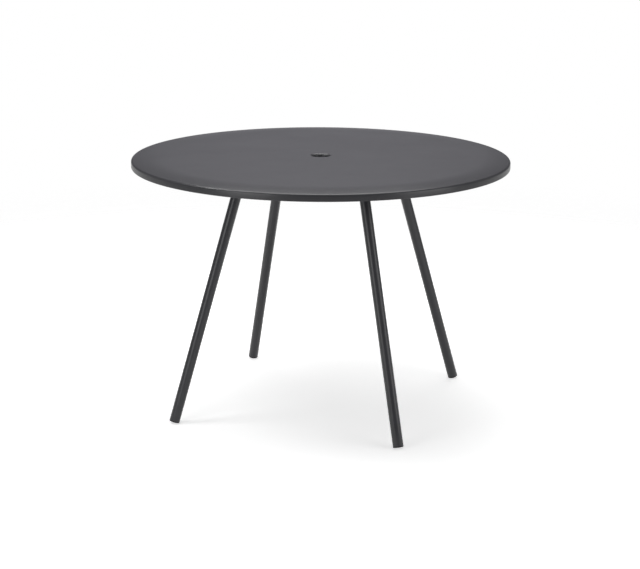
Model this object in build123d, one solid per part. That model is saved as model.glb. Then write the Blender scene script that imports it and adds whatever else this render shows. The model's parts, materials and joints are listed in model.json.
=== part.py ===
from build123d import *
import os
from math import atan2, cos, radians, sin, tan

# Round outdoor dining table: a pressed sheet-metal top with an open parasol hole, carried by a
# cross frame of flat rails, and four splayed tube legs that slide on spigots and are bolted there.
# Millimetres, +Z up, origin on the floor under the middle of the table, legs on the diagonals.

# Table top, one pressed sheet: bends are given by the radius of the face that shows
TOP_DIAMETER = 1100.0
TABLE_HEIGHT = 750.0
SHEET_THICKNESS = 3.0
EDGE_SLOPE_WIDTH = 60.0
EDGE_SLOPE_DROP = 5.5
RIM_DEPTH = 25.0
RIM_BEND = 6.0
PARASOL_HOLE_DIAMETER = 52.0
PARASOL_COLLAR_DEPTH = 18.0
PARASOL_COLLAR_BEND = 7.0

# Cross frame under the sheet: a square hub round the parasol collar and four flat tube rails
HUB_WALL = 5.0
HUB_TO_COLLAR_BEND = 2.0
RAIL_WIDTH = 40.0
RAIL_HEIGHT = 15.0
RAIL_WALL = 2.0
RAIL_END_TO_SLOPE = 18.0

# Plastic caps in the open ends of the rails
CAP_THICKNESS = 3.0
CAP_EDGE_CHAMFER = 1.0
CAP_PLUG_LENGTH = 14.0
CAP_PLUG_WALL = 1.5
PLUG_CLEARANCE = 0.1

# Leg joint: a pad welded under each rail, and a solid spigot welded to the pad at the splay angle
LEG_TOP_RADIUS = 248.5
LEG_SPLAY_DEGREES = 17.4
PAD_LENGTH = 80.0
PAD_SIDE_LAND = 10.0
PAD_THICKNESS = 6.0
PAD_CORNER_CHAMFER = 8.0
SPIGOT_LENGTH = 110.0
SPIGOT_CLEARANCE = 0.15

# Legs, each held on its spigot by one round-headed bolt from the inner side
LEG_DIAMETER = 30.0
LEG_WALL = 2.5
BOLT_DIAMETER = 8.0
BOLT_LENGTH = 20.0
BOLT_HEAD_DIAMETER = 14.0
BOLT_HEAD_HEIGHT = 4.4
BOLT_KEY_SIZE = 5.0
BOLT_KEY_DEPTH = 2.6
BOLT_FROM_PAD = 45.0
BOLT_HOLE_CLEARANCE = 1.0
THREAD_CLEARANCE = 0.2
TAPPED_HOLE_RUNOUT = 3.0

# Plastic glides pressed into the feet of the legs
GLIDE_SOLE_THICKNESS = 3.0
GLIDE_SHANK_LENGTH = 22.0
GLIDE_WEB_THICKNESS = 3.0
GLIDE_WEB_CHAMFER = 3.0

# Where each leg, with its rail, pad, spigot and glide, stands round the table
LEG_POSITIONS = {"back_right": 45, "back_left": 135, "front_left": 225, "front_right": 315}

# Levels and radii that follow from the sizes above
top_radius = TOP_DIAMETER / 2
hole_radius = PARASOL_HOLE_DIAMETER / 2
sheet_underside = TABLE_HEIGHT - SHEET_THICKNESS
rail_underside = sheet_underside - RAIL_HEIGHT
pad_underside = rail_underside - PAD_THICKNESS
slope_radius = top_radius - EDGE_SLOPE_WIDTH
rail_end_radius = slope_radius - RAIL_END_TO_SLOPE

# The hub clears the collar's bend, and each of its flats is at least as wide as a rail
hub_opening = max(2 * (hole_radius + PARASOL_COLLAR_BEND + HUB_TO_COLLAR_BEND), RAIL_WIDTH)
hub_width = hub_opening + 2 * HUB_WALL

# The leg runs down and outward from the pad until the inner edge of its sole meets the floor
leg_radius = LEG_DIAMETER / 2
leg_bore_radius = leg_radius - LEG_WALL
splay = radians(LEG_SPLAY_DEGREES)
leg_plane = Plane(
    origin=(LEG_TOP_RADIUS, 0, pad_underside),
    x_dir=(cos(splay), 0, sin(splay)),
    z_dir=(sin(splay), 0, -cos(splay)),
)
leg_length = (pad_underside - leg_radius * sin(splay)) / cos(splay)
tube_end = leg_length - GLIDE_SOLE_THICKNESS

# The bolt's bearing face touches the inner side of the tube, square to the leg
bolt_plane = leg_plane * Plane(
    origin=(-leg_radius, 0, BOLT_FROM_PAD), x_dir=(0, 1, 0), z_dir=(1, 0, 0)
)

BOTTOM_ALIGNED = (Align.CENTER, Align.CENTER, Align.MIN)
TOP_ALIGNED = (Align.CENTER, Align.CENTER, Align.MAX)


def pressed_top():
    """One sheet: a collar round the hole, a flat disc that slopes off towards its edge, and a rim."""
    rim_bottom = TABLE_HEIGHT - RIM_DEPTH
    rim_inside = top_radius - SHEET_THICKNESS
    slope = atan2(EDGE_SLOPE_DROP, EDGE_SLOPE_WIDTH)
    slope_underside = slope_radius - SHEET_THICKNESS * tan(slope / 2)
    corner_underside = sheet_underside - (rim_inside - slope_underside) * tan(slope)
    collar_and_flat = FilletPolyline(
        (hole_radius, TABLE_HEIGHT - PARASOL_COLLAR_DEPTH),
        (hole_radius, TABLE_HEIGHT),
        (slope_radius, TABLE_HEIGHT),
        radius=PARASOL_COLLAR_BEND,
    )
    slope_and_rim = FilletPolyline(
        (slope_radius, TABLE_HEIGHT),
        (top_radius, TABLE_HEIGHT - EDGE_SLOPE_DROP),
        (top_radius, rim_bottom),
        radius=RIM_BEND,
    )
    inside = Polyline(
        slope_and_rim @ 1,
        (rim_inside, rim_bottom),
        (rim_inside, corner_underside),
        (slope_underside, sheet_underside),
        (hole_radius + SHEET_THICKNESS, sheet_underside),
        (hole_radius + SHEET_THICKNESS, TABLE_HEIGHT - PARASOL_COLLAR_DEPTH),
        collar_and_flat @ 0,
    )
    section = make_face(collar_and_flat + slope_and_rim + inside)
    return revolve(Plane.XZ * section, axis=Axis.Z)


def hub_box():
    """Square ring of tube round the collar, one flat turned to each rail."""
    ring = Box(hub_width, hub_width, RAIL_HEIGHT, align=BOTTOM_ALIGNED)
    opening = Box(hub_opening, hub_opening, RAIL_HEIGHT, align=BOTTOM_ALIGNED)
    return Pos(0, 0, rail_underside) * Rot(0, 0, min(LEG_POSITIONS.values())) * (ring - opening)


def rail_bar(start, end, inset):
    """Solid bar in the line of a rail, from one radius to another, inset from the rail's outside."""
    bar = Box(
        end - start,
        RAIL_WIDTH - 2 * inset,
        RAIL_HEIGHT - 2 * inset,
        align=(Align.MIN, Align.CENTER, Align.CENTER),
    )
    return Pos(start, 0, sheet_underside - RAIL_HEIGHT / 2) * bar


def frame_rail():
    """Flat tube along +X, cut square, from the hub's flat outward."""
    start = hub_width / 2
    return rail_bar(start, rail_end_radius, 0) - rail_bar(start, rail_end_radius, RAIL_WALL)


def rail_end_cap():
    """Plastic cap: a chamfered face over the rail's end, and a hollow plug inside the rail."""
    face = rail_bar(rail_end_radius, rail_end_radius + CAP_THICKNESS, 0)
    face = chamfer(face.faces().sort_by(Axis.X)[-1].edges(), CAP_EDGE_CHAMFER)
    plug_start = rail_end_radius - CAP_PLUG_LENGTH
    plug_inset = RAIL_WALL + PLUG_CLEARANCE
    plug = rail_bar(plug_start, rail_end_radius, plug_inset)
    hollow = rail_bar(plug_start, rail_end_radius, plug_inset + CAP_PLUG_WALL)
    return face + (plug - hollow)


def leg_pad():
    """Plate welded under the rail, wider than the rail by a land for the weld on each side."""
    plate = Box(PAD_LENGTH, RAIL_WIDTH + 2 * PAD_SIDE_LAND, PAD_THICKNESS, align=BOTTOM_ALIGNED)
    plate = chamfer(plate.edges().filter_by(Axis.Z), PAD_CORNER_CHAMFER)
    return Pos(LEG_TOP_RADIUS, 0, pad_underside) * plate


def leg_rod(radius, length):
    """Solid rod along the leg, mitred flush with the underside of the pad."""
    mitre_allowance = radius * tan(splay)
    rod = Pos(0, 0, -mitre_allowance) * Cylinder(
        radius, length + mitre_allowance, align=BOTTOM_ALIGNED
    )
    pad_plane = Plane(origin=(LEG_TOP_RADIUS, 0, pad_underside))
    return split(leg_plane * rod, bisect_by=pad_plane, keep=Keep.BOTTOM)


def bolt_rod(diameter, length):
    """Solid rod along the bolt, from its bearing face towards the middle of the leg."""
    return bolt_plane * Cylinder(diameter / 2, length, align=BOTTOM_ALIGNED)


def leg_spigot():
    """Solid bar that fills the top of the tube, with a blind tapped hole for the bolt."""
    bar = leg_rod(leg_bore_radius - SPIGOT_CLEARANCE, SPIGOT_LENGTH)
    return bar - bolt_rod(BOLT_DIAMETER + THREAD_CLEARANCE, BOLT_LENGTH + TAPPED_HOLE_RUNOUT)


def leg_tube():
    """Round tube, mitred at the top and cut square at the foot, bolt hole through its inner side."""
    walls = leg_rod(leg_radius, tube_end) - leg_rod(leg_bore_radius, tube_end)
    return walls - bolt_rod(BOLT_DIAMETER + BOLT_HOLE_CLEARANCE, leg_radius)


def leg_bolt():
    """Round-headed bolt with a hexagon key socket."""
    shank = Cylinder(BOLT_DIAMETER / 2, BOLT_LENGTH, align=BOTTOM_ALIGNED)
    head = Cylinder(BOLT_HEAD_DIAMETER / 2, BOLT_HEAD_HEIGHT, align=TOP_ALIGNED)
    key = extrude(RegularPolygon(BOLT_KEY_SIZE / 2, 6, major_radius=False), BOLT_KEY_DEPTH)
    return bolt_plane * (shank + head - Pos(0, 0, -BOLT_HEAD_HEIGHT) * key)


def foot_glide():
    """Plastic foot: a sole as wide as the tube, and a cross of webs that grips inside it."""
    sole = Cylinder(leg_radius, GLIDE_SOLE_THICKNESS, align=BOTTOM_ALIGNED)
    web_width = 2 * (leg_bore_radius - PLUG_CLEARANCE)
    web = Box(web_width, GLIDE_WEB_THICKNESS, GLIDE_SHANK_LENGTH, align=TOP_ALIGNED)
    web = chamfer(web.edges().filter_by(Axis.Y).group_by(Axis.Z)[0], GLIDE_WEB_CHAMFER)
    return leg_plane * Pos(0, 0, tube_end) * (sole + web + Rot(0, 0, 90) * web)


bolt = leg_bolt()
nodes = {
    "table_top": pressed_top(),
    "hub_box": hub_box(),
    "leg_bolts": Compound([Rot(0, 0, angle) * bolt for angle in LEG_POSITIONS.values()]),
}
leg_pieces = {
    "rail": frame_rail(),
    "rail_cap": rail_end_cap(),
    "leg_pad": leg_pad(),
    "leg_spigot": leg_spigot(),
    "leg_tube": leg_tube(),
    "glide": foot_glide(),
}
for position, angle in LEG_POSITIONS.items():
    for piece, solid in leg_pieces.items():
        nodes[f"{piece}_{position}"] = Rot(0, 0, angle) * solid

os.makedirs("parts", exist_ok=True)
for name, shape in nodes.items():
    export_step(shape, f"parts/{name}.step")
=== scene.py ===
import json
import math
import bpy
from mathutils import Matrix, Vector


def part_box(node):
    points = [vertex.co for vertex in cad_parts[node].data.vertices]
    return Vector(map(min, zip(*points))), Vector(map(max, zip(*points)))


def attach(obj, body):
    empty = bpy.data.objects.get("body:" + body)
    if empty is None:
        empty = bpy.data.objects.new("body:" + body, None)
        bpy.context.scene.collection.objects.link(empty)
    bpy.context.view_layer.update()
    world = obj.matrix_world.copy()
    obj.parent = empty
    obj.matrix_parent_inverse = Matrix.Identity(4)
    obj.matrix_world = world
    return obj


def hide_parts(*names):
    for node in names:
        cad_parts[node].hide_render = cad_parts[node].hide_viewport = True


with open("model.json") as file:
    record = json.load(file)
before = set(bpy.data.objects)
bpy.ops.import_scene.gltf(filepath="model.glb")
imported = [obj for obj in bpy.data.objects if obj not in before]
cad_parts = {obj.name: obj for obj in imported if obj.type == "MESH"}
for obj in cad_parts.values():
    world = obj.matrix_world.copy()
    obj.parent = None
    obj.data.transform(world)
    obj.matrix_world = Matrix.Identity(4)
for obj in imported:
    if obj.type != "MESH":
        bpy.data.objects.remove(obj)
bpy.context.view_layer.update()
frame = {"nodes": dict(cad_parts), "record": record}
collection = bpy.context.scene.collection

# Table top: one round sheet of 3 mm aluminium, pressed so that its edge slopes off gently, its rim turns
# down all round and a collar is drawn down into the parasol hole. Its bends keep the thickness of the
# sheet, and it is powder-coated dark grey, a satin film with a fine grain.
SHEET = 0.003
EDGE_SLOPE_WIDTH = 0.06
EDGE_SLOPE_DROP = 0.0055
EDGE_SLOPE_EASE = 0.48
RIM_BEND = 0.006
COLLAR_BEND = 0.007
COLLAR_DEPTH = 0.018
SHEET_EDGE_ROUNDING = 0.0009
BEND_TO_FLAT = 0.003
FLAT_RING_STEP = 0.08
TOP_BEND_STEPS = 9
TOP_TURN_STEPS = 288

COAT_DARK = (0.021, 0.021, 0.0245, 1)
COAT_LIGHT = (0.026, 0.026, 0.030, 1)
COAT_SHINE = 0.5
COAT_GRAIN = 0.0007
COAT_GRAIN_HEIGHT = 0.00005
TOP_ROUGHNESS = (0.28, 0.315)
TOP_PATCH = 0.16
GRAIN_DETAIL = 2.0
PATCH_DETAIL = 4.0
GRAIN_SHARE = 0.4
PATTERN_LOW = 0.3
PATTERN_HIGH = 0.7


def feed(tree, node, values):
    """Sets a node's inputs, each to a constant or to the socket that it is linked to."""
    for name, value in values.items():
        if isinstance(value, bpy.types.NodeSocket):
            tree.links.new(value, node.inputs[name])
        else:
            node.inputs[name].default_value = value


def add_node(tree, kind, values=None, **settings):
    """Adds a node with its settings and its inputs."""
    node = tree.nodes.new(kind)
    for name, value in settings.items():
        setattr(node, name, value)
    feed(tree, node, values or {})
    return node


def output(tree, kind, values=None, out=0, **settings):
    """Adds a node and gives one of its outputs, by its number or name."""
    return add_node(tree, kind, values, **settings).outputs[out]


def calc(tree, operation, *values):
    """Works out a number from one to three others."""
    return output(tree, "ShaderNodeMath", dict(enumerate(values)), operation=operation)


def spread(tree, value, start, end, low=0.0, high=1.0, blend="LINEAR"):
    """Maps a value in the range start to end onto the range low to high."""
    values = {"Value": value, "From Min": start, "From Max": end, "To Min": low, "To Max": high}
    return output(tree, "ShaderNodeMapRange", values, interpolation_type=blend)


def mixed(tree, kind, first, second, share):
    """Mixes two colours, kind RGBA, or two numbers, kind FLOAT, by a share of the second."""
    values = {"Factor": share, "A": first, "B": second}
    return output(tree, "ShaderNodeMix", values, out="Result", data_type=kind)


def surface_grain():
    """Shader group: a fine pebbled grain, and broad soft patches, each from 0 to 1."""
    group = bpy.data.node_groups.new("surface_grain", "ShaderNodeTree")
    for name in ("Grain Size", "Patch Size"):
        group.interface.new_socket(name, in_out="INPUT", socket_type="NodeSocketFloat")
    for name in ("Grain", "Patch"):
        group.interface.new_socket(name, in_out="OUTPUT", socket_type="NodeSocketFloat")
    sizes = add_node(group, "NodeGroupInput").outputs
    place = output(group, "ShaderNodeTexCoord", out="Object")
    patterns = {}
    for name, detail in (("Grain", GRAIN_DETAIL), ("Patch", PATCH_DETAIL)):
        scale = calc(group, "DIVIDE", 1.0, sizes[f"{name} Size"])
        values = {"Vector": place, "Scale": scale, "Detail": detail}
        patterns[name] = output(group, "ShaderNodeTexNoise", values, out="Fac")
    add_node(group, "NodeGroupOutput", patterns)
    return group


grain_group = surface_grain()


def new_finish(name):
    """A new material, its node tree and its shader."""
    material = bpy.data.materials.new(name)
    material.use_nodes = True
    tree = material.node_tree
    return material, tree, tree.nodes["Principled BSDF"]


def grained_finish(name, dark, light, roughness, shine, grain, grain_height, patch):
    """Material: a coat or moulding whose tone and gloss drift a little, with a fine grain over it."""
    material, tree, shader = new_finish(name)
    sizes = {"Grain Size": grain, "Patch Size": patch}
    pattern = add_node(tree, "ShaderNodeGroup", sizes, node_tree=grain_group).outputs
    both = mixed(tree, "FLOAT", pattern["Patch"], pattern["Grain"], GRAIN_SHARE)
    tone = spread(tree, both, PATTERN_LOW, PATTERN_HIGH)
    colour = mixed(tree, "RGBA", dark, light, tone)
    gloss = spread(tree, pattern["Patch"], PATTERN_LOW, PATTERN_HIGH, *roughness)
    relief = {"Strength": 1.0, "Distance": grain_height, "Height": pattern["Grain"]}
    normal = output(tree, "ShaderNodeBump", relief)
    feed(
        tree,
        shader,
        {"Base Color": colour, "Roughness": gloss, "Specular IOR Level": shine, "Normal": normal},
    )
    return material


def powder_coat(name, roughness, patch):
    """The dark grey coat of the table, with the gloss and the patches of one kind of piece."""
    return grained_finish(
        name, COAT_DARK, COAT_LIGHT, roughness, COAT_SHINE, COAT_GRAIN, COAT_GRAIN_HEIGHT, patch
    )


def new_piece(name, points, edges=(), faces=()):
    """A mesh object at the origin, from points and the edges or faces between them."""
    mesh = bpy.data.meshes.new(name)
    mesh.from_pydata(points, edges, faces)
    piece = bpy.data.objects.new(name, mesh)
    collection.objects.link(piece)
    return piece


def section_outline(name, *loops, closed=True):
    """Outline of one or more loops, to be turned or extruded: each corner's X, Z and rounding."""
    edges = []
    start = 0
    for loop in loops:
        count = len(loop)
        steps = count if closed else count - 1
        edges += [(start + i, start + (i + 1) % count) for i in range(steps)]
        start += count
    corners = [corner for loop in loops for corner in loop]
    piece = new_piece(name, [(across, 0, up) for across, up, _ in corners], edges)
    rounding = piece.data.attributes.new("rounding", "FLOAT", "POINT")
    rounding.data.foreach_set("value", [radius for _, _, radius in corners])
    return piece


def new_tree(name, sizes):
    """Geometry node tree with a geometry input and output, and a named input for each size."""
    tree = bpy.data.node_groups.new(name, "GeometryNodeTree")
    tree.interface.new_socket("Geometry", in_out="OUTPUT", socket_type="NodeSocketGeometry")
    tree.interface.new_socket("Geometry", in_out="INPUT", socket_type="NodeSocketGeometry")
    for size, kind in sizes.items():
        tree.interface.new_socket(size, in_out="INPUT", socket_type=f"NodeSocket{kind}")
    return tree, add_node(tree, "NodeGroupInput").outputs


def end_tree(tree, given, geometry):
    """Ends a tree: makes one mesh of it and gives it its finish."""
    whole = output(tree, "GeometryNodeRealizeInstances", {"Geometry": geometry})
    finish = {"Geometry": whole, "Material": given["Material"]}
    finished = output(tree, "GeometryNodeSetMaterial", finish)
    add_node(tree, "NodeGroupOutput", {0: finished})


def seat(tree, given, geometry):
    """Turns a piece to its stance and sets it on its seat."""
    place = {"Geometry": geometry, "Translation": given["Seat"], "Rotation": given["Stance"]}
    return output(tree, "GeometryNodeTransform", place)


PLACING = {"Stance": "Vector", "Seat": "Vector", "Swing": "Float", "Material": "Material"}


def place_and_finish(tree, given, geometry):
    """Ends a tree: seats the piece and swings it round the table to its own place."""
    turn = output(tree, "ShaderNodeCombineXYZ", {"Z": given["Swing"]})
    swing = {"Geometry": seat(tree, given, geometry), "Rotation": turn}
    end_tree(tree, given, output(tree, "GeometryNodeTransform", swing))


def rounded_curve(tree, given):
    """The outline as a curve with its corners rounded."""
    line = output(tree, "GeometryNodeMeshToCurve", {"Mesh": given["Geometry"]})
    radius = output(tree, "GeometryNodeInputNamedAttribute", {"Name": "rounding"}, data_type="FLOAT")
    corners = {"Curve": line, "Count": given["Corner Steps"], "Radius": radius, "Limit Radius": True}
    return output(tree, "GeometryNodeFilletCurve", corners, mode="POLY")


CLOSE_SEAM = 1e-6
SHARP_EDGE = math.radians(40)
PATH_RADIUS = 0.1


def close_seams(tree, geometry):
    """Joins the points that meet along a seam or at a pole."""
    return output(
        tree, "GeometryNodeMergeByDistance", {"Geometry": geometry, "Distance": CLOSE_SEAM}
    )


def smooth_by_angle(tree, geometry):
    """Smooth shading, with edges kept sharp where two faces meet at a steep angle."""
    smooth = output(tree, "GeometryNodeSetShadeSmooth", {"Geometry": geometry})
    angle = output(tree, "GeometryNodeInputMeshEdgeAngle", out="Unsigned Angle")
    steep = {"A": angle, "B": SHARP_EDGE}
    sharp = output(tree, "FunctionNodeCompare", steep, operation="GREATER_THAN")
    shading = {"Geometry": smooth, "Selection": sharp, "Shade Smooth": False}
    return output(tree, "GeometryNodeSetShadeSmooth", shading, domain="EDGE")


def turned_tree():
    """Turns a section in the XZ plane about Z, as on a lathe, and mitres its upper end by a slope."""
    sizes = {"Corner Steps": "Int", "Turn Steps": "Int", "Mitre": "Float"}
    tree, given = new_tree("turned_section", sizes | PLACING)
    section = {
        "Geometry": rounded_curve(tree, given),
        "Translation": (-PATH_RADIUS, 0, 0),
        "Rotation": (math.pi / 2, 0, 0),
    }
    flat = output(tree, "GeometryNodeTransform", section)
    circle = {"Resolution": given["Turn Steps"], "Radius": PATH_RADIUS}
    path = output(tree, "GeometryNodeCurvePrimitiveCircle", circle)
    turned = output(tree, "GeometryNodeCurveToMesh", {"Curve": path, "Profile Curve": flat})
    position = output(tree, "GeometryNodeInputPosition")
    place = add_node(tree, "ShaderNodeSeparateXYZ", {0: position}).outputs
    above = {"A": place["Z"], "B": -CLOSE_SEAM}
    upper_end = output(tree, "FunctionNodeCompare", above, operation="GREATER_THAN")
    drop = calc(tree, "MULTIPLY", place["X"], given["Mitre"])
    shift = output(tree, "ShaderNodeCombineXYZ", {"Z": drop})
    cut = {"Geometry": close_seams(tree, turned), "Selection": upper_end, "Offset": shift}
    mitred = output(tree, "GeometryNodeSetPosition", cut)
    place_and_finish(tree, given, smooth_by_angle(tree, mitred))
    return tree


def plain_mesh(piece, modifier):
    """Leaves a piece as the plain mesh that its modifier makes."""
    depsgraph = bpy.context.evaluated_depsgraph_get()
    mesh = bpy.data.meshes.new_from_object(piece.evaluated_get(depsgraph))
    piece.modifiers.remove(modifier)
    mesh.name = piece.name
    piece.data = mesh


def made_by(piece, tree, **sizes):
    """Runs a tree on an outline, which becomes a plain mesh. In the names of sizes _ stands for a space."""
    modifier = piece.modifiers.new(tree.name, "NODES")
    modifier.node_group = tree
    inputs = {
        item.name: item.identifier for item in tree.interface.items_tree if item.in_out == "INPUT"
    }
    for size, value in sizes.items():
        modifier[inputs[size.replace("_", " ")]] = value
    plain_mesh(piece, modifier)
    return piece


turned_section = turned_tree()
top_low, top_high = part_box("table_top")
top_radius = min(top_high.x, top_high.y, -top_low.x, -top_low.y)
top_height = top_high.z
under_sheet = top_height - SHEET
rim_inside = top_radius - SHEET
hole_radius = frame["record"]["mounts"][0]["dims"]["r_mm"] / 1000
collar_end = top_height - COLLAR_DEPTH
slope = math.atan2(EDGE_SLOPE_DROP, EDGE_SLOPE_WIDTH)
slope_radius = top_radius - EDGE_SLOPE_WIDTH
slope_underside = slope_radius - SHEET * math.tan(slope / 2)
corner_underside = under_sheet - (rim_inside - slope_underside) * math.tan(slope)
flat_start = hole_radius + COLLAR_BEND + BEND_TO_FLAT
flat_end = slope_radius - EDGE_SLOPE_EASE * math.tan(slope / 2) - BEND_TO_FLAT
ring_count = round((flat_end - flat_start) / FLAT_RING_STEP)
flat_rings = [flat_start + (flat_end - flat_start) * i / ring_count for i in range(ring_count + 1)]
show_face = [
    (hole_radius, collar_end, SHEET_EDGE_ROUNDING),
    (hole_radius, top_height, COLLAR_BEND),
    *[(radius, top_height, 0) for radius in flat_rings],
    (slope_radius, top_height, EDGE_SLOPE_EASE),
    (top_radius, top_height - EDGE_SLOPE_DROP, RIM_BEND),
    (top_radius, top_low.z, SHEET_EDGE_ROUNDING),
]
hidden_face = [
    (rim_inside, top_low.z, SHEET_EDGE_ROUNDING),
    (rim_inside, corner_underside, RIM_BEND - SHEET),
    (slope_underside, under_sheet, EDGE_SLOPE_EASE - SHEET),
    *[(radius, under_sheet, 0) for radius in reversed(flat_rings)],
    (hole_radius + SHEET, under_sheet, COLLAR_BEND - SHEET),
    (hole_radius + SHEET, collar_end, SHEET_EDGE_ROUNDING),
]
pressed_top = made_by(
    section_outline("pressed_top", show_face + hidden_face),
    turned_section,
    Corner_Steps=TOP_BEND_STEPS,
    Turn_Steps=TOP_TURN_STEPS,
    Material=powder_coat("top_powder_coat", TOP_ROUGHNESS, TOP_PATCH),
)
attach(pressed_top, "root")
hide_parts("table_top")

# Hub: a short length of square aluminium tube round the parasol collar, cut from an extrusion and
# fixed to the underside of the sheet. The four rails butt against its flats. Powder-coated with them.
HUB_WALL = 0.005
HUB_CORNER = 0.003
HUB_INNER_CORNER = 0.0015
HUB_CORNER_STEPS = 6
FRAME_ROUGHNESS = (0.36, 0.42)
FRAME_PATCH = 0.05
CUT_EDGE = 0.0004
CUT_EDGE_STEPS = 2
LEG_SWINGS = {"back_right": 45, "back_left": 135, "front_left": 225, "front_right": 315}


def extruded_tree():
    """Fills an outline drawn in the XZ plane, pulls it out along its own normal and closes both ends."""
    sizes = {"Corner Steps": "Int", "Length": "Float"}
    tree, given = new_tree("extruded_section", sizes | PLACING)
    section = {"Geometry": rounded_curve(tree, given), "Rotation": (-math.pi / 2, 0, 0)}
    flat = output(tree, "GeometryNodeTransform", section)
    face = output(tree, "GeometryNodeFillCurve", {"Curve": flat}, mode="TRIANGLES")
    along = output(tree, "ShaderNodeCombineXYZ", {"Z": given["Length"]})
    pull = {"Mesh": face, "Offset": along, "Offset Scale": 1.0, "Individual": False}
    pulled = output(tree, "GeometryNodeExtrudeMesh", pull, mode="FACES")
    back = output(tree, "GeometryNodeFlipFaces", {"Mesh": face})
    both = add_node(tree, "GeometryNodeJoinGeometry", {0: pulled})
    feed(tree, both, {0: back})
    closed = close_seams(tree, both.outputs[0])
    place_and_finish(tree, given, smooth_by_angle(tree, closed))
    return tree


def rectangle(width, height, corner):
    """Corners of an upright rectangle about the origin, each with the same rounding."""
    x = width / 2
    z = height / 2
    return [(-x, -z, corner), (x, -z, corner), (x, z, corner), (-x, z, corner)]


def soften_edges(piece):
    """Breaks the sharp edges, as deburring and the coat's own thickness do."""
    bevel = piece.modifiers.new("broken_edges", "BEVEL")
    bevel.width = CUT_EDGE
    bevel.segments = CUT_EDGE_STEPS
    bevel.limit_method = "ANGLE"
    bevel.angle_limit = SHARP_EDGE
    bevel.harden_normals = True
    plain_mesh(piece, bevel)


frame_coat = powder_coat("frame_powder_coat", FRAME_ROUGHNESS, FRAME_PATCH)
extruded_section = extruded_tree()
first_leg = math.radians(LEG_SWINGS["back_right"])
hub_low, hub_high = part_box("hub_box")
hub_height = hub_high.z - hub_low.z
hub_width = hub_high.x * math.sqrt(2)
hub_flat = hub_width / 2
hub_opening = hub_width - 2 * HUB_WALL
hub_ring = made_by(
    section_outline(
        "hub_ring",
        rectangle(hub_width, hub_width, HUB_CORNER),
        rectangle(hub_opening, hub_opening, HUB_INNER_CORNER),
    ),
    extruded_section,
    Corner_Steps=HUB_CORNER_STEPS,
    Length=hub_height,
    Seat=(0, 0, hub_low.z),
    Swing=first_leg,
    Material=frame_coat,
)
soften_edges(hub_ring)
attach(hub_ring, "root")
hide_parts("hub_box")

# Rails: four flat aluminium tubes, 40 by 15 mm, that lie against the underside of the sheet and run
# from the hub to near the rim. They are extruded, cut square and stitch-welded, and coated with the hub.
RAIL_WIDTH = 0.04
RAIL_WALL = 0.002
RAIL_CORNER = 0.0018
RAIL_INNER_CORNER = 0.0006
RAIL_CORNER_STEPS = 5

rail_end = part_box("rail_back_right")[1].x * math.sqrt(2) - RAIL_WIDTH / 2
rail_outer = rectangle(RAIL_WIDTH, hub_height, RAIL_CORNER)
rail_inner = rectangle(RAIL_WIDTH - 2 * RAIL_WALL, hub_height - 2 * RAIL_WALL, RAIL_INNER_CORNER)
for position, degrees in LEG_SWINGS.items():
    rail = made_by(
        section_outline(f"cross_rail_{position}", rail_outer, rail_inner),
        extruded_section,
        Corner_Steps=RAIL_CORNER_STEPS,
        Length=rail_end - hub_flat,
        Stance=(math.pi / 2, 0, math.pi / 2),
        Seat=(hub_flat, 0, hub_low.z + hub_height / 2),
        Swing=math.radians(degrees),
        Material=frame_coat,
    )
    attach(rail, "root")
    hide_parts(f"rail_{position}")

# Rail caps: black nylon plugs pushed into the open ends of the rails, moulded with a chamfered face.
# They keep their modelled shape and get the look of a spark-textured moulding.
NYLON_DARK = (0.008, 0.008, 0.0085, 1)
NYLON_LIGHT = (0.014, 0.014, 0.0145, 1)
NYLON_ROUGHNESS = (0.46, 0.6)
NYLON_SHINE = 0.5
NYLON_GRAIN = 0.0003
NYLON_GRAIN_HEIGHT = 0.000012
NYLON_PATCH = 0.012

nylon = grained_finish(
    "black_nylon",
    NYLON_DARK,
    NYLON_LIGHT,
    NYLON_ROUGHNESS,
    NYLON_SHINE,
    NYLON_GRAIN,
    NYLON_GRAIN_HEIGHT,
    NYLON_PATCH,
)


def refinish(node, material):
    """Gives a CAD node a new finish through its material slots."""
    for slot in frame["nodes"][node].material_slots:
        slot.material = material


for position in LEG_SWINGS:
    refinish(f"rail_cap_{position}", nylon)

# Leg pads: 6 mm aluminium plates, sawn with clipped corners and welded under the rails where the
# legs stand. Their edges are broken with a file before coating.
PAD_LENGTH = 0.08
PAD_WIDTH = 0.06
PAD_CLIPPED = 0.008
PAD_CORNER = 0.002
PAD_CORNER_STEPS = 4
LEG_TOP_RADIUS = 0.2485

pad_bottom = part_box("leg_pad_back_right")[0].z
pad_outline = []
for x_side, z_side in ((-1, -1), (1, -1), (1, 1), (-1, 1)):
    along = (x_side * (PAD_LENGTH / 2 - PAD_CLIPPED), z_side * PAD_WIDTH / 2, PAD_CORNER)
    across = (x_side * PAD_LENGTH / 2, z_side * (PAD_WIDTH / 2 - PAD_CLIPPED), PAD_CORNER)
    pad_outline += [across, along] if x_side * z_side > 0 else [along, across]
for position, degrees in LEG_SWINGS.items():
    pad = made_by(
        section_outline(f"weld_pad_{position}", pad_outline),
        extruded_section,
        Corner_Steps=PAD_CORNER_STEPS,
        Length=hub_low.z - pad_bottom,
        Seat=(LEG_TOP_RADIUS, 0, pad_bottom),
        Swing=math.radians(degrees),
        Material=frame_coat,
    )
    soften_edges(pad)
    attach(pad, "root")
    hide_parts(f"leg_pad_{position}")

# Spigots: solid aluminium bars welded to the pads at the splay of the legs, hidden inside the tubes.
# They keep their modelled shape and are coated with the frame.
for position in LEG_SWINGS:
    refinish(f"leg_spigot_{position}", frame_coat)

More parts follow.
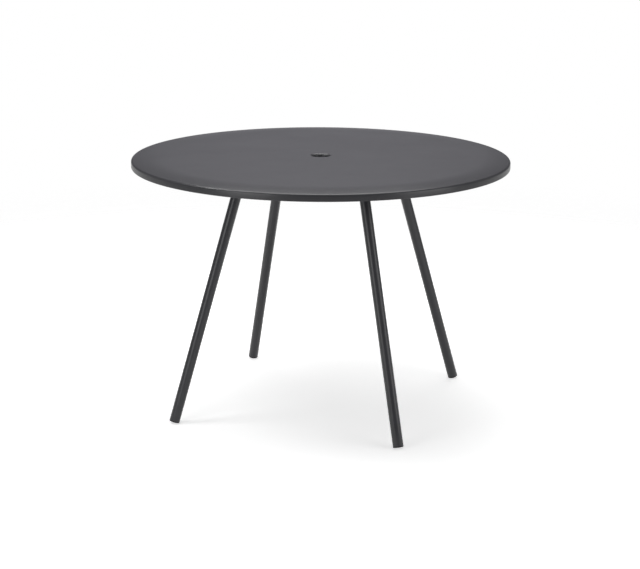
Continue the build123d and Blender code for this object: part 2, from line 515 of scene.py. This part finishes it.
# Welds: rippled beads laid by hand where the rails meet the hub, along the sides of the rails in short
# stitches up to the sheet, and round the pads. They are coated over with the frame.
BEAD_RADIUS = 0.0021
BEAD_ROUND_STEPS = 12
BEAD_STEP = 0.0005
BEAD_TAPER = 0.003
BEAD_END_SIZE = 0.35
BEAD_SINK = 0.0006
RIPPLE_LENGTH = 0.0023
RIPPLE_DEPTH = 0.1
HUB_BEAD_SINK = 0.0011
STITCH_LENGTH = 0.03
STITCH_FROM_HUB = 0.055
STITCH_SPACING = 0.105
STITCHES = 4
REPEATING = {"Copies": "Int", "First Copy": "Float", "Material": "Material"}


def repeat_and_finish(tree, given, geometry):
    """Ends a tree: repeats the piece at even angles round the table."""
    one = output(tree, "GeometryNodeGeometryToInstance", {0: geometry})
    repeat = {"Geometry": one, "Amount": given["Copies"]}
    copies = add_node(tree, "GeometryNodeDuplicateElements", repeat, domain="INSTANCE").outputs
    share = calc(tree, "DIVIDE", math.tau, given["Copies"])
    angle = calc(tree, "MULTIPLY_ADD", copies["Duplicate Index"], share, given["First Copy"])
    turn = output(tree, "ShaderNodeCombineXYZ", {"Z": angle})
    swing = {"Instances": copies[0], "Rotation": turn, "Local Space": False}
    end_tree(tree, given, output(tree, "GeometryNodeRotateInstances", swing))


def weld_tree():
    """Sweeps a round bead along each line, with even ripples and tapered ends."""
    sizes = {"Bead Radius": "Float", "Ripple Length": "Float", "Ripple Depth": "Float"}
    sizes |= {"Taper": "Float", "Step": "Float"}
    tree, given = new_tree("weld_beads", sizes | REPEATING)
    line = output(tree, "GeometryNodeMeshToCurve", {"Mesh": given["Geometry"]})
    steps = {"Curve": line, "Length": given["Step"]}
    path = output(tree, "GeometryNodeResampleCurve", steps, mode="LENGTH")
    along = output(tree, "GeometryNodeSplineParameter", out="Length")
    whole = output(tree, "GeometryNodeSplineLength", out="Length")
    turns = calc(tree, "DIVIDE", along, given["Ripple Length"])
    wave = calc(tree, "SINE", calc(tree, "MULTIPLY", turns, math.tau))
    ripple = calc(tree, "MULTIPLY_ADD", wave, given["Ripple Depth"], 1.0)
    to_end = calc(tree, "MINIMUM", along, calc(tree, "SUBTRACT", whole, along))
    ends = spread(tree, to_end, 0.0, given["Taper"], BEAD_END_SIZE, 1.0, "SMOOTHSTEP")
    circle = {"Resolution": BEAD_ROUND_STEPS, "Radius": given["Bead Radius"]}
    bead = output(tree, "GeometryNodeCurvePrimitiveCircle", circle)
    sweep = {"Curve": path, "Profile Curve": bead, "Fill Caps": True}
    sweep["Scale"] = calc(tree, "MULTIPLY", ripple, ends)
    swept = output(tree, "GeometryNodeCurveToMesh", sweep)
    repeat_and_finish(tree, given, smooth_by_angle(tree, swept))
    return tree


half_rail = RAIL_WIDTH / 2
stitch_level = hub_high.z - BEAD_SINK
pad_level = hub_low.z + BEAD_SINK
pad_start = LEG_TOP_RADIUS - PAD_LENGTH / 2 + PAD_CLIPPED
pad_end = LEG_TOP_RADIUS + PAD_LENGTH / 2 - PAD_CLIPPED
corner_x = hub_flat + BEAD_SINK
corner_low = hub_low.z + RAIL_CORNER
corner_high = hub_high.z - RAIL_CORNER
weld_ends = []
for side in (-1, 1):
    y = side * (half_rail + BEAD_SINK)
    for stitch in range(STITCHES):
        start = hub_flat + STITCH_FROM_HUB + stitch * STITCH_SPACING
        weld_ends += [(start, y, stitch_level), (start + STITCH_LENGTH, y, stitch_level)]
    weld_ends += [(pad_start, y, pad_level), (pad_end, y, pad_level)]
    weld_ends += [(corner_x, y, corner_low), (corner_x, y, corner_high)]
for y in (-half_rail + RAIL_CORNER, half_rail - RAIL_CORNER):
    weld_ends.append((hub_flat, y, hub_low.z + HUB_BEAD_SINK))
frame_welds = made_by(
    new_piece("frame_welds", weld_ends, [(i, i + 1) for i in range(0, len(weld_ends), 2)]),
    weld_tree(),
    Bead_Radius=BEAD_RADIUS,
    Ripple_Length=RIPPLE_LENGTH,
    Ripple_Depth=RIPPLE_DEPTH,
    Taper=BEAD_TAPER,
    Step=BEAD_STEP,
    Copies=len(LEG_SWINGS),
    First_Copy=first_leg,
    Material=frame_coat,
)
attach(frame_welds, "root")

# Legs: straight round aluminium tubes, 30 mm across with a 2.5 mm wall, splayed outward. Each is mitred
# to sit flat under its pad, cut square at the foot, slid over its spigot and coated like the top.
LEG_SPLAY = math.radians(17.4)
LEG_RADIUS = 0.015
LEG_WALL = 0.0025
LEG_EDGE_STEPS = 4
LEG_TURN_STEPS = 64
LEG_RING_STEP = 0.06
LEG_ROUGHNESS = (0.28, 0.34)
LEG_PATCH = 0.09
SOLE = 0.003

leg_coat = powder_coat("leg_powder_coat", LEG_ROUGHNESS, LEG_PATCH)
leg_bore = LEG_RADIUS - LEG_WALL
leg_length = (pad_bottom - LEG_RADIUS * math.sin(LEG_SPLAY)) / math.cos(LEG_SPLAY)
tube_end = SOLE - leg_length
ring_count = round(-tube_end / LEG_RING_STEP)
leg_rings = [tube_end * i / ring_count for i in range(1, ring_count)]
tube_section = [
    (leg_bore, 0, 0),
    (LEG_RADIUS, 0, 0),
    *[(LEG_RADIUS, level, 0) for level in leg_rings],
    (LEG_RADIUS, tube_end, CUT_EDGE),
    (leg_bore, tube_end, CUT_EDGE),
    *[(leg_bore, level, 0) for level in reversed(leg_rings)],
]
leg_top = Vector((LEG_TOP_RADIUS, 0, pad_bottom))
leg_stance = (0, -LEG_SPLAY, 0)
for position, degrees in LEG_SWINGS.items():
    leg = made_by(
        section_outline(f"splayed_leg_{position}", tube_section),
        turned_section,
        Corner_Steps=LEG_EDGE_STEPS,
        Turn_Steps=LEG_TURN_STEPS,
        Mitre=-math.tan(LEG_SPLAY),
        Stance=leg_stance,
        Seat=leg_top,
        Swing=math.radians(degrees),
        Material=leg_coat,
    )
    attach(leg, "root")
    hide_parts(f"leg_tube_{position}")

# Leg bolts: stainless round-headed bolts with a hexagon socket, one through the inner side of each tube
# into its spigot. The heads are cold-formed and tumbled, with faint turning rings.
BOLT_FROM_PAD = 0.045
BOLT_HEAD_RADIUS = 0.007
BOLT_HEAD_HEIGHT = 0.0044
BOLT_HEAD_FLAT = 0.0042
BOLT_HEAD_SKIRT = 0.0014
BOLT_DOME_ROUNDING = 0.0028
BOLT_SHANK_RADIUS = 0.004
BOLT_LENGTH = 0.02
BOLT_CORNER_STEPS = 7
BOLT_TURN_STEPS = 48
KEY_SIDES = 6
KEY_ACROSS_FLATS = 0.005
KEY_DEPTH = 0.0026
STEEL_DARK = (0.36, 0.36, 0.37, 1)
STEEL_LIGHT = (0.5, 0.5, 0.51, 1)
STEEL_ROUGHNESS = (0.28, 0.42)
RINGS_PER_METRE = 3200
RING_DETAIL = 2.0


def bolt_tree():
    """Turns a bolt from its section, cuts the hexagon socket and sets one at each leg."""
    sizes = {"Corner Steps": "Int", "Turn Steps": "Int", "Key Radius": "Float", "Key Depth": "Float"}
    sizes |= {"Head Height": "Float", "Stance": "Vector", "Seat": "Vector"}
    tree, given = new_tree("leg_bolt_set", sizes | REPEATING)
    section = {name: given[name] for name in ("Geometry", "Corner Steps", "Turn Steps")}
    turned = output(tree, "GeometryNodeGroup", section, node_tree=turned_section)
    double_depth = calc(tree, "MULTIPLY", given["Key Depth"], 2.0)
    hexagon = {"Vertices": KEY_SIDES, "Radius": given["Key Radius"], "Depth": double_depth}
    key = output(tree, "GeometryNodeMeshCylinder", hexagon)
    head_top = output(tree, "ShaderNodeCombineXYZ", {"Z": given["Head Height"]})
    key = output(tree, "GeometryNodeTransform", {"Geometry": key, "Translation": head_top})
    bodies = {"Mesh 1": turned, "Mesh 2": key}
    cut = output(tree, "GeometryNodeMeshBoolean", bodies, operation="DIFFERENCE")
    position = output(tree, "GeometryNodeInputPosition")
    place = add_node(tree, "ShaderNodeSeparateXYZ", {0: position}).outputs
    off_axis = output(tree, "ShaderNodeCombineXYZ", {"X": place["X"], "Y": place["Y"]})
    from_axis = output(tree, "ShaderNodeVectorMath", {0: off_axis}, out="Value", operation="LENGTH")
    mark = {"Geometry": cut, "Name": "from_axis", "Value": from_axis}
    marked = output(
        tree, "GeometryNodeStoreNamedAttribute", mark, data_type="FLOAT", domain="POINT"
    )
    repeat_and_finish(tree, given, seat(tree, given, smooth_by_angle(tree, marked)))
    return tree


def turned_steel(name):
    """Stainless steel with faint rings about the bolt's own axis."""
    material, tree, shader = new_finish(name)
    radius = output(tree, "ShaderNodeAttribute", out="Fac", attribute_name="from_axis")
    pattern = {"W": radius, "Scale": RINGS_PER_METRE, "Detail": RING_DETAIL}
    rings = output(tree, "ShaderNodeTexNoise", pattern, out="Fac", noise_dimensions="1D")
    colour = mixed(tree, "RGBA", STEEL_DARK, STEEL_LIGHT, rings)
    gloss = spread(tree, rings, 0.0, 1.0, *STEEL_ROUGHNESS)
    feed(tree, shader, {"Base Color": colour, "Roughness": gloss, "Metallic": 1.0})
    return material


bolt_section = [
    (0, BOLT_HEAD_HEIGHT, 0),
    (BOLT_HEAD_FLAT, BOLT_HEAD_HEIGHT, BOLT_DOME_ROUNDING),
    (BOLT_HEAD_RADIUS, BOLT_HEAD_SKIRT, BOLT_DOME_ROUNDING),
    (BOLT_HEAD_RADIUS, 0, CUT_EDGE),
    (BOLT_SHANK_RADIUS, 0, 0),
    (BOLT_SHANK_RADIUS, -BOLT_LENGTH, CUT_EDGE),
    (0, -BOLT_LENGTH, 0),
]
leg_down = Vector((math.sin(LEG_SPLAY), 0, -math.cos(LEG_SPLAY)))
leg_inward = Vector((-math.cos(LEG_SPLAY), 0, -math.sin(LEG_SPLAY)))
round_head_bolts = made_by(
    section_outline("round_head_bolts", bolt_section, closed=False),
    bolt_tree(),
    Corner_Steps=BOLT_CORNER_STEPS,
    Turn_Steps=BOLT_TURN_STEPS,
    Key_Radius=KEY_ACROSS_FLATS / math.sqrt(3),
    Key_Depth=KEY_DEPTH,
    Head_Height=BOLT_HEAD_HEIGHT,
    Stance=(0, -math.pi / 2 - LEG_SPLAY, 0),
    Seat=leg_top + leg_down * BOLT_FROM_PAD + leg_inward * LEG_RADIUS,
    Copies=len(LEG_SWINGS),
    First_Copy=first_leg,
    Material=turned_steel("bolt_steel"),
)
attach(round_head_bolts, "root")
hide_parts("leg_bolts")

# Glides: black nylon soles as wide as the tube with a rounded tread, and a stem that grips inside
# the tube. They are moulded and pressed into the square-cut feet.
SOLE_ROUNDING = 0.0012
STEM_LENGTH = 0.022
STEM_CLEARANCE = 0.0001
STEM_LEAD_IN = 0.003
GLIDE_CORNER_STEPS = 5

stem_radius = leg_bore - STEM_CLEARANCE
stem_top = tube_end + STEM_LENGTH
glide_section = [
    (0, stem_top, 0),
    (stem_radius - STEM_LEAD_IN, stem_top, CUT_EDGE),
    (stem_radius, stem_top - STEM_LEAD_IN, CUT_EDGE),
    (stem_radius, tube_end, 0),
    (LEG_RADIUS, tube_end, CUT_EDGE),
    (LEG_RADIUS, -leg_length, SOLE_ROUNDING),
    (0, -leg_length, 0),
]
for position, degrees in LEG_SWINGS.items():
    glide = made_by(
        section_outline(f"foot_glide_{position}", glide_section, closed=False),
        turned_section,
        Corner_Steps=GLIDE_CORNER_STEPS,
        Turn_Steps=LEG_TURN_STEPS,
        Stance=leg_stance,
        Seat=leg_top,
        Swing=math.radians(degrees),
        Material=nylon,
    )
    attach(glide, "root")
    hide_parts(f"glide_{position}")

# Floor: a round of pale studio floor that fades out into the white behind it. It takes the table's
# shadow, and its underside lets the camera see the table from below.
FLOOR_RADIUS = 4.0
FLOOR_STEPS = 96
FLOOR_FADE_FROM = 1.4
FLOOR_FADE_TO = 3.6
FLOOR_COLOUR = (0.85, 0.85, 0.85, 1)
FLOOR_LIFT = 0.58
WHITE = (1, 1, 1, 1)


def seen_background(tree):
    """1 for rays that show the background: the camera's, and those of reflections and glass."""
    rays = add_node(tree, "ShaderNodeLightPath").outputs
    either = calc(tree, "MAXIMUM", rays["Is Camera Ray"], rays["Is Glossy Ray"])
    return calc(tree, "MAXIMUM", either, rays["Is Transmission Ray"])


def pale_floor():
    """Matt pale floor, lifted to white where the background shows, fading out with distance."""
    material, tree, _ = new_finish("pale_floor")
    tree.nodes.clear()
    matt = output(tree, "ShaderNodeBsdfDiffuse", {"Color": FLOOR_COLOUR})
    lift = calc(tree, "MULTIPLY", seen_background(tree), FLOOR_LIFT)
    glow = output(tree, "ShaderNodeEmission", {"Color": WHITE, "Strength": lift})
    near = output(tree, "ShaderNodeAddShader", {0: matt, 1: glow})
    spot = output(tree, "ShaderNodeTexCoord", out="Object")
    distance = output(tree, "ShaderNodeVectorMath", {0: spot}, out="Value", operation="LENGTH")
    fade = spread(tree, distance, FLOOR_FADE_FROM, FLOOR_FADE_TO, blend="SMOOTHSTEP")
    below = output(tree, "ShaderNodeNewGeometry", out="Backfacing")
    clear = output(tree, "ShaderNodeBsdfTransparent")
    parts = {0: calc(tree, "MAXIMUM", fade, below), 1: near, 2: clear}
    shown = output(tree, "ShaderNodeMixShader", parts)
    add_node(tree, "ShaderNodeOutputMaterial", {"Surface": shown})
    return material


floor_turns = [math.tau * i / FLOOR_STEPS for i in range(FLOOR_STEPS)]
studio_floor = new_piece(
    "studio_floor",
    [(FLOOR_RADIUS * math.cos(turn), FLOOR_RADIUS * math.sin(turn), 0) for turn in floor_turns],
    faces=[range(FLOOR_STEPS)],
)
studio_floor.data.materials.append(pale_floor())

# Camera: stands about 4.6 m off, in front and a little to the right of the table and above its top.
# It looks slightly down at the table through a long lens.
CAMERA_AT = Vector((1.3699, -4.3470, 1.5608))
CAMERA_HEADING = math.radians(17.498)
CAMERA_TILT = math.radians(14.759)
CAMERA_ROLL = math.radians(0.271)
CAMERA_LENS = 89.06
CAMERA_SENSOR = 36

camera_data = bpy.data.cameras.new("studio_camera")
camera_data.lens = CAMERA_LENS
camera_data.sensor_width = CAMERA_SENSOR
studio_camera = bpy.data.objects.new("studio_camera", camera_data)
collection.objects.link(studio_camera)
studio_camera.matrix_world = (
    Matrix.Translation(CAMERA_AT)
    @ Matrix.Rotation(CAMERA_HEADING, 4, "Z")
    @ Matrix.Rotation(math.pi / 2 - CAMERA_TILT, 4, "X")
    @ Matrix.Rotation(CAMERA_ROLL, 4, "Z")
)
bpy.context.scene.camera = studio_camera

# Light: one broad soft box overhead, a tall one to each side and a small one high on the left, in a pale
# room. Its floor is white behind the table, its walls are light grey, and the wall behind the table is
# darker, with a soft glow low on it that the top mirrors. All other light is a low, even fill.
FILL = (0.2, 0.2, 0.2, 1)
SIDE_WALL = (0.42, 0.42, 0.43, 1)
WALL = (0.19, 0.187, 0.2, 1)
WALL_WIDTH = math.radians(30)
WALL_FADE = math.radians(60)
WALL_GLOW = (0.44, 0.431, 0.466, 1)
GLOW_HEIGHT = math.radians(9)
GLOW_FADE = math.radians(12)
WALL_FROM = -0.07
WALL_TO = -0.03
ROOM = (0.65, 0.65, 0.65, 1)
SWEEP_TILT = math.radians(-10)
SWEEP_WIDTH = math.radians(14)
SWEEP_FADE = math.radians(26)
SOFT_BOXES = {
    "overhead_box": {"at": (0, 0.5, 2.75), "size": (2.0, 3.0), "watts": 56},
    "left_box": {"at": (-1.85, -2.2, 1.2), "size": (1.4, 1.8), "watts": 20},
    "right_box": {"at": (2.4, -1.4, 1.2), "size": (1.6, 1.8), "watts": 18},
    "high_left_box": {"at": (-1.5, -0.2, 2.5), "size": (0.7, 0.7), "watts": 16},
}

to_camera_side = Matrix.Rotation(CAMERA_HEADING, 3, "Z")
for name, box in SOFT_BOXES.items():
    lamp = bpy.data.lights.new(name, "AREA")
    lamp.shape = "RECTANGLE"
    lamp.size, lamp.size_y = box["size"]
    lamp.energy = box["watts"]
    soft_box = bpy.data.objects.new(name, lamp)
    collection.objects.link(soft_box)
    at = to_camera_side @ Vector(box["at"])
    aim = Vector((0, 0, top_height)) - at
    soft_box.matrix_world = Matrix.Translation(at) @ aim.to_track_quat("-Z", "Y").to_matrix().to_4x4()

world = bpy.data.worlds.new("studio_room")
world.use_nodes = True
room = world.node_tree
room.nodes.clear()
direction = output(room, "ShaderNodeTexCoord", out="Generated")
up = output(room, "ShaderNodeSeparateXYZ", {0: direction}, out="Z")
height = spread(room, up, WALL_FROM, WALL_TO, blend="SMOOTHSTEP")


def spot_behind(tilt, full, none):
    """1 round a direction behind the table, at a tilt from level, falling to 0 at an angle from it."""
    middle = to_camera_side @ Vector((0, math.cos(tilt), math.sin(tilt)))
    both = {0: direction, 1: middle}
    facing = output(room, "ShaderNodeVectorMath", both, out="Value", operation="DOT_PRODUCT")
    return spread(room, facing, math.cos(none), math.cos(full), blend="SMOOTHSTEP")


walls = mixed(room, "RGBA", SIDE_WALL, WALL, spot_behind(GLOW_HEIGHT, WALL_WIDTH, WALL_FADE))
walls = mixed(room, "RGBA", walls, WALL_GLOW, spot_behind(GLOW_HEIGHT, 0, GLOW_FADE))
ground = mixed(room, "RGBA", ROOM, WHITE, spot_behind(SWEEP_TILT, SWEEP_WIDTH, SWEEP_FADE))
surround = mixed(room, "RGBA", ground, walls, height)
fill = output(room, "ShaderNodeBackground", {"Color": FILL, "Strength": 1.0})
backdrop = output(room, "ShaderNodeBackground", {"Color": surround, "Strength": 1.0})
shown = output(room, "ShaderNodeMixShader", {0: seen_background(room), 1: fill, 2: backdrop})
add_node(room, "ShaderNodeOutputWorld", {"Surface": shown})
bpy.context.scene.world = world
bpy.context.scene.view_settings.view_transform = "Standard"
